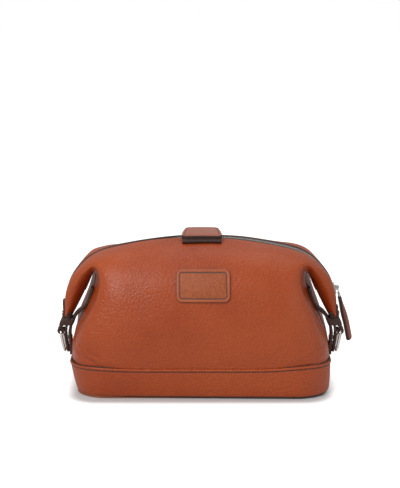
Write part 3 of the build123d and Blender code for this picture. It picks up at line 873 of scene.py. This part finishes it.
# ---- zip
TAPE_PROFILE = [(5.6, 1.15), (5.6, 1.75), (4.6, 1.95), (3.2, 1.9), (2.5, 1.95), (2.2, 2.35), (1.6, 2.4),
                (1.2, 2.1), (1.15, 1.2), (1.6, 0.8), (2.3, 0.9), (3.0, 1.1)]
ZIP_END = -0.985
ZIP_NOSE = (MAIN_R * BEND + SHOULDER_R * (math.radians(68.6) - BEND)) / FRAME_HALF
TOOTH_PITCH = 2.2


def frame_spot(s, y, lift, side):
    spot, out = frame_line(s)
    amount = lift + side * twist(spot[0]) * min(1.0, side * y / LEAN_Y) - zip_dip(spot[0])
    return (spot[0] + out[0] * amount, y, spot[1] + out[1] * amount)


def add_tape(name, side, half):
    """One zip tape, from the left leg to the right one, with a cord along its inner edge."""
    rings = sweep_frame(TAPE_PROFILE, ZIP_END, 0.99, 320, side, sunk=True)
    add_piece(name + "_zip_tape", *closed_sweep(rings), TAPE, half, name + "_tape", "zip_tape")


def add_teeth(name, side, half):
    """Moulded metal teeth, one by one. Each has a clasp over the cord, a narrow neck and a rounded head."""
    outline_half = [(2.1, 0.60), (1.3, 0.64), (0.7, 0.42), (0.15, 0.40), (-0.4, 0.60), (-0.85, 0.48),
                    (-1.05, 0.2)]
    loop = [(y, w) for y, w in outline_half] + [(y, -w) for y, w in reversed(outline_half)]
    low, high = ZIP_END + 0.03, ZIP_NOSE
    number = int((high - low) * FRAME_HALF / TOOTH_PITCH)
    points, faces = [], []
    size = len(loop)
    for k in range(number):
        s = low + (k + (0.5 if side > 0 else 0.0)) * TOOTH_PITCH / FRAME_HALF
        start = len(points)
        for lift, shrink in ((0.55, 0.85), (0.8, 1.0), (2.2, 1.0), (2.5, 0.78)):
            for y, w in loop:
                yy = 0.8 + (y - 0.8) * shrink
                points.append(frame_spot(s + w * shrink / FRAME_HALF, side * yy, lift, side))
        faces += grid_faces(4, size, start, close_columns=True)
        faces += cap_faces(start, size) + cap_faces(start + 3 * size, size)
    add_piece(name + "_zip_teeth", points, faces, TEETH, half, name + "_teeth", "zip_metal", flat=True)
    ring = [(0.9, 0.7), (3.2, 0.9), (3.4, 1.6), (3.2, 2.6), (0.9, 3.0), (0.5, 2.6), (0.4, 1.2)]
    rings = sweep_frame(ring, ZIP_END + 0.002, ZIP_END + 0.024, 5, side, sunk=True)
    add_piece(name + "_zip_stop", *closed_sweep(rings), TEETH, half, None, "zip_metal")


for label, way in (("front", -1), ("back", 1)):
    add_tape(label, way, label + "_frame")
    add_teeth(label, way, label + "_frame")


# ---- slider and pull
SLIDER_ANGLE = math.radians(75.0)
SLIDER_R, PIN_RADIUS = 57.0, 61.4    # the slider's middle and its cross pin, from the shoulder's centre
PIN_X = SHOULDER_X + PIN_RADIUS * math.sin(SLIDER_ANGLE)
PIN_Z = SHOULDER_Z + PIN_RADIUS * math.cos(SLIDER_ANGLE)


def on_shoulder(p, q, radius):
    """p runs round the right shoulder from the slider's middle, q across it."""
    angle = SLIDER_ANGLE + p / SLIDER_R
    return np.stack([SHOULDER_X + radius * np.sin(angle), q, SHOULDER_Z + radius * np.cos(angle)], axis=-1)


def tube(path, radius, sides, closed=False, flat=1.0):
    """A wire along a path. radius is one number or one per point, and flat squeezes its second axis."""
    path = np.asarray(path, float)
    count = len(path)
    radius = np.broadcast_to(np.asarray(radius, float), (count,))
    along = np.gradient(np.concatenate([path[-1:], path, path[:1]]) if closed else path, axis=0)
    along = unit(along[1:-1] if closed else along)
    guide = np.array([0.0, 1.0, 0.0]) if abs(along[0][1]) < 0.8 else np.array([1.0, 0.0, 0.0])
    rings = []
    for spot, way, size in zip(path, along, radius):
        guide = guide - way * float(np.dot(guide, way))
        guide /= np.linalg.norm(guide)
        other = np.cross(way, guide)
        turns = np.linspace(0, math.tau, sides, endpoint=False)
        rings.append([spot + size * (math.cos(t) * guide + flat * math.sin(t) * other) for t in turns])
    rings = np.array(rings)
    if closed:
        return rings.reshape(-1, 3), grid_faces(count, sides, close_rows=True, close_columns=True)
    return closed_sweep(rings)


def lathe_x(profile, z, sides, mirror):
    """A turned piece round a line along x at height z: profile holds (x, radius) and both ends close."""
    turns = np.linspace(0, math.tau, sides, endpoint=False)
    rings = [[(mirror * x, r * math.cos(t), z + r * math.sin(t)) for t in turns] for x, r in profile]
    return closed_sweep(np.array(rings))


def rounded_corners(corners, radius, steps=7):
    """A closed path of straight runs with round corners."""
    corners = np.asarray(corners, float)
    path = []
    for before, here, after in zip(np.roll(corners, 1, axis=0), corners, np.roll(corners, -1, axis=0)):
        a, b = here + unit(before - here) * radius, here + unit(after - here) * radius
        path += [(1 - t) ** 2 * a + 2 * t * (1 - t) * here + t * t * b for t in np.linspace(0, 1, steps)]
    return np.array(path)


SLIDER_HALF = 5.3


def add_slider():
    """Two plates on a post, two lugs and the cross pin that the pull hangs from."""
    def place(p, q, height):
        """The plates narrow a little towards both ends, and more towards the lower one."""
        share = p / SLIDER_HALF
        return on_shoulder(p, q * (1.0 - 0.10 * np.clip(share, -1, 1) - 0.06 * share ** 2), height)

    upper = [(0.55, 57.1, 0), (0.0, 57.1, 0), (0.0, 58.4, 0), (0.2, 58.9, 0), (0.6, 59.15, 0),
             (1.3, 59.25, 0), (2.4, 59.3, 0), (4.3, 59.3, 0)]
    lower = [(0.55, 55.9, 0), (0.0, 55.9, 0), (0.0, 54.5, 0), (0.2, 54.05, 0), (0.6, 53.8, 0),
             (1.3, 53.7, 0), (2.4, 53.65, 0), (4.3, 53.65, 0)]
    for label, profile, under in (("upper", upper, 57.8), ("lower", lower, 55.2)):
        obj = plate("slider_" + label + "_plate", SLIDER_HALF, 4.5, 2.2, profile, place, [CHROME], under)
        finish_piece(obj, "zip_slider", "slider_body" if label == "upper" else None, "slider_metal")
    post = [(0.0, 54.6, 0), (0.0, 58.4, 0), (0.05, 58.45, 0), (0.5, 58.5, 0)]
    obj = plate("slider_post", 0.9, 0.55, 0.5, post, lambda p, q, h: on_shoulder(p - 4.0, q, h), [CHROME],
                count=40)
    finish_piece(obj, "zip_slider", None, "slider_metal")
    lugs = []
    ring = [(-1.9, 58.9), (-1.75, 60.4), (-1.35, 61.7), (-0.75, 62.5), (0, 62.8), (0.75, 62.5),
            (1.35, 61.7), (1.75, 60.4), (1.9, 58.9)]
    for y in (-2.2, 2.2):
        rows = []
        for q, shrink in ((-0.6, 0.8), (-0.45, 1.0), (0.45, 1.0), (0.6, 0.8)):
            rows.append([on_shoulder(np.array(p * shrink), np.array(y + q), 60.4 + (r - 60.4) * shrink)
                         for p, r in ring])
        lugs.append(closed_sweep(np.array(rows)))
    add_piece("slider_lugs", *joined(lugs), CHROME, "zip_slider", None, "slider_metal")
    pin = [(PIN_X, y, PIN_Z) for y in (-3.25, -3.1, -2.9, 2.9, 3.1, 3.25)]
    thick = [0.5, 0.85, 0.62, 0.62, 0.85, 0.5]
    add_piece("slider_cross_pin", *tube(pin, thick, 16), CHROME, "zip_slider", "slider_pin", "slider_metal")


PULL_LEAN = math.radians(12.0)
PULL_DOWN = np.array([math.sin(PULL_LEAN), 0, -math.cos(PULL_LEAN)])
PULL_OUT = np.array([math.cos(PULL_LEAN), 0, math.sin(PULL_LEAN)])
PIN_SPOT = np.array([PIN_X, 0, PIN_Z])


def on_pull(p, q, height):
    """p runs down the pull from the pin, q across it and height stands out from its middle plane."""
    p, q, height = (np.asarray(v, float) for v in (p, q, height))
    bow = 0.00045 * (p - 9) * (55 - p) + 1.2 * smooth(14, 40, p)
    turn = math.radians(22) * smooth(10, 30, p)
    across = q * np.cos(turn) - height * np.sin(turn)
    out = height * np.cos(turn) + q * np.sin(turn) + bow
    return (PIN_SPOT + p[..., None] * PULL_DOWN + across[..., None] * np.array([0, 1.0, 0])
            + out[..., None] * PULL_OUT)


def add_pull():
    """An eye on the slider's pin, a clamp, and two leathers sewn back to back."""
    turns = np.linspace(0, math.tau, 24, endpoint=False)
    loop = [PIN_SPOT + 1.35 * (math.cos(t) * PULL_DOWN + math.sin(t) * PULL_OUT) for t in turns]
    eye_ring = tube(loop, 0.55, 10, closed=True)
    neck = tube([PIN_SPOT + PULL_DOWN * d for d in (1.2, 2.0, 3.0, 4.6, 5.6, 6.4)],
                [0.9, 0.8, 0.75, 0.8, 1.1, 1.5], 14, flat=0.75)
    add_piece("pull_eye", *joined([eye_ring, neck]), CHROME, "zip_pull", "pull_link", "slider_metal")
    clamp = [(0.3, -1.15, 0), (0.0, -0.8, 0), (0.0, 0.8, 0), (0.3, 1.15, 0), (0.7, 1.25, 0), (1.6, 1.3, 0)]
    obj = plate("pull_clamp", 1.9, 4.1, 0.9, clamp, lambda p, q, h: on_pull(p + 7.5, q, h), [CHROME],
                under=-1.15, count=64)
    finish_piece(obj, "zip_pull", None, "slider_metal")
    half, wide, corner = 23.0, 5.0, 3.4
    face = [(0.35, 0.06, 1), (0.05, 0.2, 1), (0.0, 0.8, 1), (0.15, 1.3, 1), (0.5, 1.62, 1), (0.9, 1.75, 0),
            (1.5, 1.8, 0), (1.75, 1.55, 0), (2.1, 1.55, 0), (2.4, 1.8, 0), (3.2, 1.9, 0), (4.8, 1.95, 0)]

    def place(p, q, height):
        return on_pull(p + 9.1 + half, q, height)

    for label, sign in (("outer", 1), ("inner", -1)):
        profile = [(inset, sign * height, look) for inset, height, look in face]
        obj = plate("pull_" + label + "_leather", half, wide, corner, profile, place, [STRAP, EDGE],
                    under=sign * 0.06, count=180)
        finish_piece(obj, "zip_pull", "pull_leather" if sign > 0 else None, "strap_leather")
        loop = rounded_loop(half, wide, corner, 1.92, 300)
        path = place(loop[:, 0], loop[:, 1], np.full(len(loop), sign * 1.62))
        ways = np.tile(PULL_OUT * sign, (len(loop), 1))
        stitches("pull_" + label + "_stitches", "zip_pull", path, ways, 1.9, 0.8, 0.26)


add_slider()
add_pull()


# ---- straps, rivets, hinge pins and buckles
BODY_STRAP = [(106.4, 97), (108.6, 89), (111.8, 81.5), (116.5, 76), (122, 71.2), (126.6, 64), (128.9, 55.5),
              (129.5, 49), (128.6, 40), (128.2, 29.5)]
EAR_STRAP = [(134.5, 78), (134.3, 72), (134.5, 66), (136.1, 60.5), (139.1, 56.5)]
TAIL = [(131.9, 60.2), (133.0, 56.5), (133.6, 51.5), (133.2, 45), (132.2, 38), (131.0, 31)]
BUCKLE_BAR, BUCKLE_FOOT, PRONG_TIP = (138.2, 53.6), (134.2, 33.6), (136.25, 33.1)
WIRE = 1.1


def smooth_line(points, count):
    """A smooth curve through points, evenly stepped."""
    points = np.asarray(points, float)
    padded = np.concatenate([[2 * points[0] - points[1]], points, [2 * points[-1] - points[-2]]])
    dense = []
    for i in range(len(points) - 1):
        a, b, c, d = padded[i:i + 4]
        for t in np.linspace(0, 1, 24, endpoint=False):
            dense.append(0.5 * (2 * b + (c - a) * t + (2 * a - 5 * b + 4 * c - d) * t * t
                                + (3 * b - a - 3 * c + d) * t ** 3))
    dense = np.array(dense + [points[-1]])
    run = run_along(dense)
    at = np.linspace(0, run[-1], count)
    return np.stack([np.interp(at, run, dense[:, k]) for k in range(2)], axis=1)


STRAP_EDGE = [(-1.0, -0.55), (-0.985, -0.8), (-0.93, -0.98), (-0.85, -1.0), (-0.78, -0.9), (-0.70, -1.0),
              (-0.4, -1.06)]
STRAP_HALF = STRAP_EDGE + [(0, -1.08)] + [(-q, h) for q, h in reversed(STRAP_EDGE)]


def add_strap(name, points, thick, cad, way, tip=None, steps=110):
    """A strap along a line of (x, z). tip rounds its last end. Its two long edges are painted dark and it is
    stitched along both, on both faces."""
    half = 6.0
    line = smooth_line(points, steps)
    along = unit(np.gradient(line, axis=0))
    out = np.stack([-along[:, 1], along[:, 0]], axis=1)
    out = out * (1 if out[steps // 2][0] > 0 else -1)
    run = run_along(line)
    left = run[-1] - run
    t = thick / 2
    shape = STRAP_HALF + [(-q, -h) for q, h in STRAP_HALF]
    rings = []
    for k in range(steps):
        width = half
        if tip and left[k] < tip:
            width = half * math.sqrt(max(0.02, 1 - (1 - left[k] / tip) ** 2))
        rings.append([(way * (line[k, 0] + out[k, 0] * h * t), q * width, line[k, 1] + out[k, 1] * h * t)
                      for q, h in shape])
    size = len(shape)
    dark = {j for j in range(size) if abs(shape[j][0]) > 0.92 and abs(shape[(j + 1) % size][0]) > 0.92}
    index = [1 if (k % size) in dark else 0 for k in range((steps - 1) * size)] + [1, 1]
    add_piece(name, *closed_sweep(np.array(rings)), ([STRAP, EDGE], index), "bag", cad, "strap_leather")
    stitched = [k for k in range(steps) if run[k] >= 2.5 and left[k] >= (tip or 2.5) * 0.8]
    threads = []
    for sign in (-1, 1):
        for face in (-1, 1):
            h = face * t * 0.9
            path = [(way * (line[k, 0] + out[k, 0] * h), sign * half * 0.78, line[k, 1] + out[k, 1] * h)
                    for k in stitched]
            ways = [(way * out[k, 0] * face, 0.0, out[k, 1] * face) for k in stitched]
            threads.append(stitch_run(path, ways, 2.1, 0.9, 0.27))
    add_piece(name + "_stitches", *joined(threads), THREAD, "bag")


def add_wrap(side, way):
    """The ear strap's end, turned round the buckle's bar and sewn back."""
    bar = np.array(BUCKLE_BAR)
    low, high = WIRE + 0.35, WIRE + 2.4
    pieces = []
    for y_low, y_high in ((-6.0, -1.7), (1.7, 6.0)):
        ring = [(low, y_low + 0.2), (low, y_high - 0.2), ((low + high) / 2, y_high), (high - 0.25, y_high),
                (high, y_high - 0.35), (high + 0.05, (y_low + y_high) / 2), (high, y_low + 0.35),
                (high - 0.25, y_low), ((low + high) / 2, y_low)]
        rows = []
        for turn in np.linspace(math.radians(-215), math.radians(125), 40):
            across, down = math.cos(turn), math.sin(turn)
            rows.append([(way * (bar[0] + r * across), y, bar[1] + r * down) for r, y in ring])
        pieces.append(closed_sweep(np.array(rows)))
    add_piece(side + "_strap_wrap", *joined(pieces), EDGE, "bag", None, "strap_leather")


KEEPER_LOOP = (7.0, 7.6, 2.4)         # half width, half depth and corner
KEEPER_X, KEEPER_TILT = 129.9, 0.42  # its middle at z 67, and how far it moves out for each mm further down


def keeper_points(way, height, inset):
    loop = rounded_loop(*KEEPER_LOOP, inset, 96)
    middle = KEEPER_X + (67.0 - height) * KEEPER_TILT
    return np.stack([way * (middle + loop[:, 0]), loop[:, 1], np.full(len(loop), height)], axis=1)


def add_keeper(side, way):
    """A leather loop that holds the straps of one end together, with a row of stitches round it."""
    profile = [(59.4, 0.9), (59.4, 0.3), (59.8, 0.0), (63.0, -0.12), (66.5, 0.0), (66.9, 0.3), (66.9, 0.9),
               (66.6, 1.5), (63.0, 1.6), (59.7, 1.5)]
    rings = np.array([keeper_points(way, height, inset) for height, inset in profile])
    faces = grid_faces(*rings.shape[:2], close_rows=True, close_columns=True)
    add_piece(side + "_keeper", rings.reshape(-1, 3), faces, EDGE, "bag", None, "strap_leather")
    loop = rounded_loop(*KEEPER_LOOP, 0.0, 96)
    ways = np.stack([way * loop[:, 0], loop[:, 1], np.zeros(len(loop))], axis=1)
    stitches(side + "_keeper_stitches", "bag", keeper_points(way, 61.2, 0.0), ways, 1.8, 0.9, 0.24)


def add_buckle(side, way):
    """A wire frame on the strap's bar, and a prong that is bent round the same bar."""
    deep = 6.5 + WIRE
    (bx, bz), (fx, fz) = BUCKLE_BAR, BUCKLE_FOOT
    corners = [(way * bx, -deep, bz), (way * bx, deep, bz), (way * fx, deep, fz), (way * fx, -deep, fz)]
    wire = tube(rounded_corners(corners, 2.6), WIRE, 14, closed=True)
    add_piece(side + "_buckle_wire", *wire, BRIGHT, side + "_buckle", side + "_buckle_frame", "buckle_metal")
    tip = np.array([way * PRONG_TIP[0], 0, PRONG_TIP[1]])
    bar = np.array([way * bx, 0, bz])
    loop = [bar + 1.75 * np.array([way * math.cos(t), 0, math.sin(t)])
            for t in np.linspace(math.radians(-250), math.radians(70), 22)]
    loop += [bar + (tip - bar) * share + np.array([way * bow, 0, 0])
             for share, bow in ((0.22, 1.6), (0.4, 1.3), (0.6, 0.9), (0.8, 0.45), (0.94, 0.1), (1.0, 0.0))]
    wire = tube(loop, [0.62] * 22 + [0.7, 0.78, 0.8, 0.8, 0.72, 0.4], 12)
    add_piece(side + "_prong_wire", *wire, BRIGHT, side + "_prong", side + "_buckle_prong", "buckle_metal")


EAR_CAP = [(126.9, 0.5), (126.9, 6.3), (127.3, 7.1), (128.0, 7.5), (130.4, 7.6), (132.8, 7.5), (133.4, 7.1),
           (133.7, 6.3), (133.7, 0.5)]
RIVET = [(127.0, 0.3), (127.0, 2.2), (127.3, 2.6), (127.7, 2.3), (127.7, 1.4), (134.2, 1.4), (134.2, 2.6),
         (134.5, 2.75), (134.9, 2.5), (135.25, 1.8), (135.45, 0.9), (135.5, 0.2)]
HINGE_PIN = [(127.5, 0.3), (127.5, 2.0), (127.8, 2.4), (128.4, 2.4), (128.4, 1.5), (136.2, 1.5),
             (136.2, 3.0), (136.5, 3.1), (136.9, 2.8), (137.2, 2.0), (137.4, 1.0), (137.45, 0.2)]
RIVET_Z = 46.0


def add_end(side, way):
    """Everything that hangs at one end of the bag. way is -1 at the left and 1 at the right."""
    ear = EAR_STRAP if way > 0 else [(134.6, 84)] + EAR_STRAP
    add_strap(side + "_hug_strap", BODY_STRAP, 2.8, side + "_body_strap", way)
    add_strap(side + "_hanging_strap", ear, 2.5, side + "_ear_strap", way, steps=70)
    add_strap(side + "_loose_tail", TAIL, 2.3, side + "_strap_tail", way, tip=5.0, steps=70)
    add_wrap(side, way)
    for name, profile, z, sides, look, cad, slot in (
            ("_ear_cap", EAR_CAP, HINGE_Z, 48, EDGE, None, "edge_leather"),
            ("_rivet", RIVET, RIVET_Z, 28, BRASS, side + "_strap_rivet", "rivet_metal"),
            ("_hinge", HINGE_PIN, HINGE_Z, 28, BRASS, side + "_hinge_pin", "rivet_metal")):
        add_piece(side + name, *lathe_x(profile, z, sides, way), look, "bag", cad, slot)
    add_keeper(side, way)
    add_buckle(side, way)


add_end("left", -1)
add_end("right", 1)


# ---- carried-over nodes
DRESSED = {"bottom_panel": BOTTOM, "base_board": BOTTOM, "lining_floor": FLOOR_LINING, "band_lining": LINING,
           "front_frame_bar": STEEL, "back_frame_bar": STEEL, "tab_spacer": EDGE}
for cad_name, look in DRESSED.items():
    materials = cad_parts[cad_name].data.materials
    materials.clear()
    materials.append(look)


# ---- floor, light and camera
def add_floor():
    """White paper that glows for the camera, with a painted shadow round the bag's foot: the glow fades out
    near the foot, so the floor there is dark.
    """
    m, tree, shader = material("floor_paper")
    shader.inputs["Base Color"].default_value = (0.60, 0.60, 0.60, 1)
    shader.inputs["Roughness"].default_value = 0.9
    shader.inputs["Emission Color"].default_value = (1, 1, 1, 1)
    seen = node(tree, "ShaderNodeLightPath").outputs["Is Camera Ray"]
    glow = remap(tree, seen, (0, 1), (0.10, 0.78))
    split = node(tree, "ShaderNodeSeparateXYZ", {0: node(tree, "ShaderNodeTexCoord").outputs["Object"]})
    away = []
    for axis, half in ((0, 0.100), (1, 0.046)):      # the middle of the bag's foot, in metres
        side = math_node(tree, "ABSOLUTE", split.outputs[axis])
        side = math_node(tree, "MAXIMUM", math_node(tree, "SUBTRACT", side, half), 0.0)
        away.append(math_node(tree, "MULTIPLY", side, side))
    gap = math_node(tree, "SQRT", math_node(tree, "ADD", *away))
    # painted shadow: the floor does not glow within 18 mm of the bag's foot, and glows fully beyond 36 mm
    clear = remap(tree, gap, (0.018, 0.036), (0, 1), "SMOOTHSTEP")
    tree.links.new(math_node(tree, "MULTIPLY", glow, clear), shader.inputs["Emission Strength"])
    half, low = 4000, -0.2
    corners = [(-half, -half, low), (half, -half, low), (half, half, low), (-half, half, low)]
    make("floor", corners, [(0, 1, 2, 3)], m)


def add_light(name, spot, aim, size, power):
    data = bpy.data.lights.new(name, "AREA")
    data.shape = "RECTANGLE"
    data.size, data.size_y = size
    data.energy = power
    obj = bpy.data.objects.new(name, data)
    obj.location = spot
    obj.rotation_euler = (Vector(aim) - Vector(spot)).to_track_quat("-Z", "Y").to_euler()
    scene.collection.objects.link(obj)


add_floor()
add_light("key", (-0.70, -0.75, 1.10), (0, 0, 0.09), (0.8, 0.6), 8.5)
add_light("fill", (1.2, -0.9, 0.6), (0, 0, 0.08), (1.0, 1.0), 3)
add_light("top", (0.15, 0.30, 1.2), (0, 0, 0.1), (1.1, 0.6), 3.2)
add_light("glint", (-0.70, -1.30, 0.95), (-0.05, 0, 0.11), (0.22, 0.22), 5.4)
world = bpy.data.worlds.new("studio")
world.use_nodes = True
tree = world.node_tree
background = tree.nodes["Background"]
background.inputs["Color"].default_value = (1, 1, 1, 1)
seen = node(tree, "ShaderNodeLightPath").outputs["Is Camera Ray"]
tree.links.new(remap(tree, seen, (0, 1), (0.44, 1.0)), background.inputs["Strength"])
scene.world = world
scene.view_settings.view_transform = "Standard"

ELEVATION = math.radians(12)
DISTANCE = 1.6
VIEW_HEIGHT = 0.47824 / 1.039        # what the frame takes in at that distance, in metres
SENSOR = 36
camera = bpy.data.cameras.new("camera")
camera.sensor_fit = "VERTICAL"
camera.sensor_height = SENSOR
camera.lens = SENSOR * DISTANCE / VIEW_HEIGHT
eye = bpy.data.objects.new("camera", camera)
target = Vector((-0.0006, -0.063, 0.1535))
eye.location = target + DISTANCE * Vector((0, -math.cos(ELEVATION), math.sin(ELEVATION)))
eye.rotation_euler = (target - eye.location).to_track_quat("-Z", "Y").to_euler()
scene.collection.objects.link(eye)
scene.camera = eye
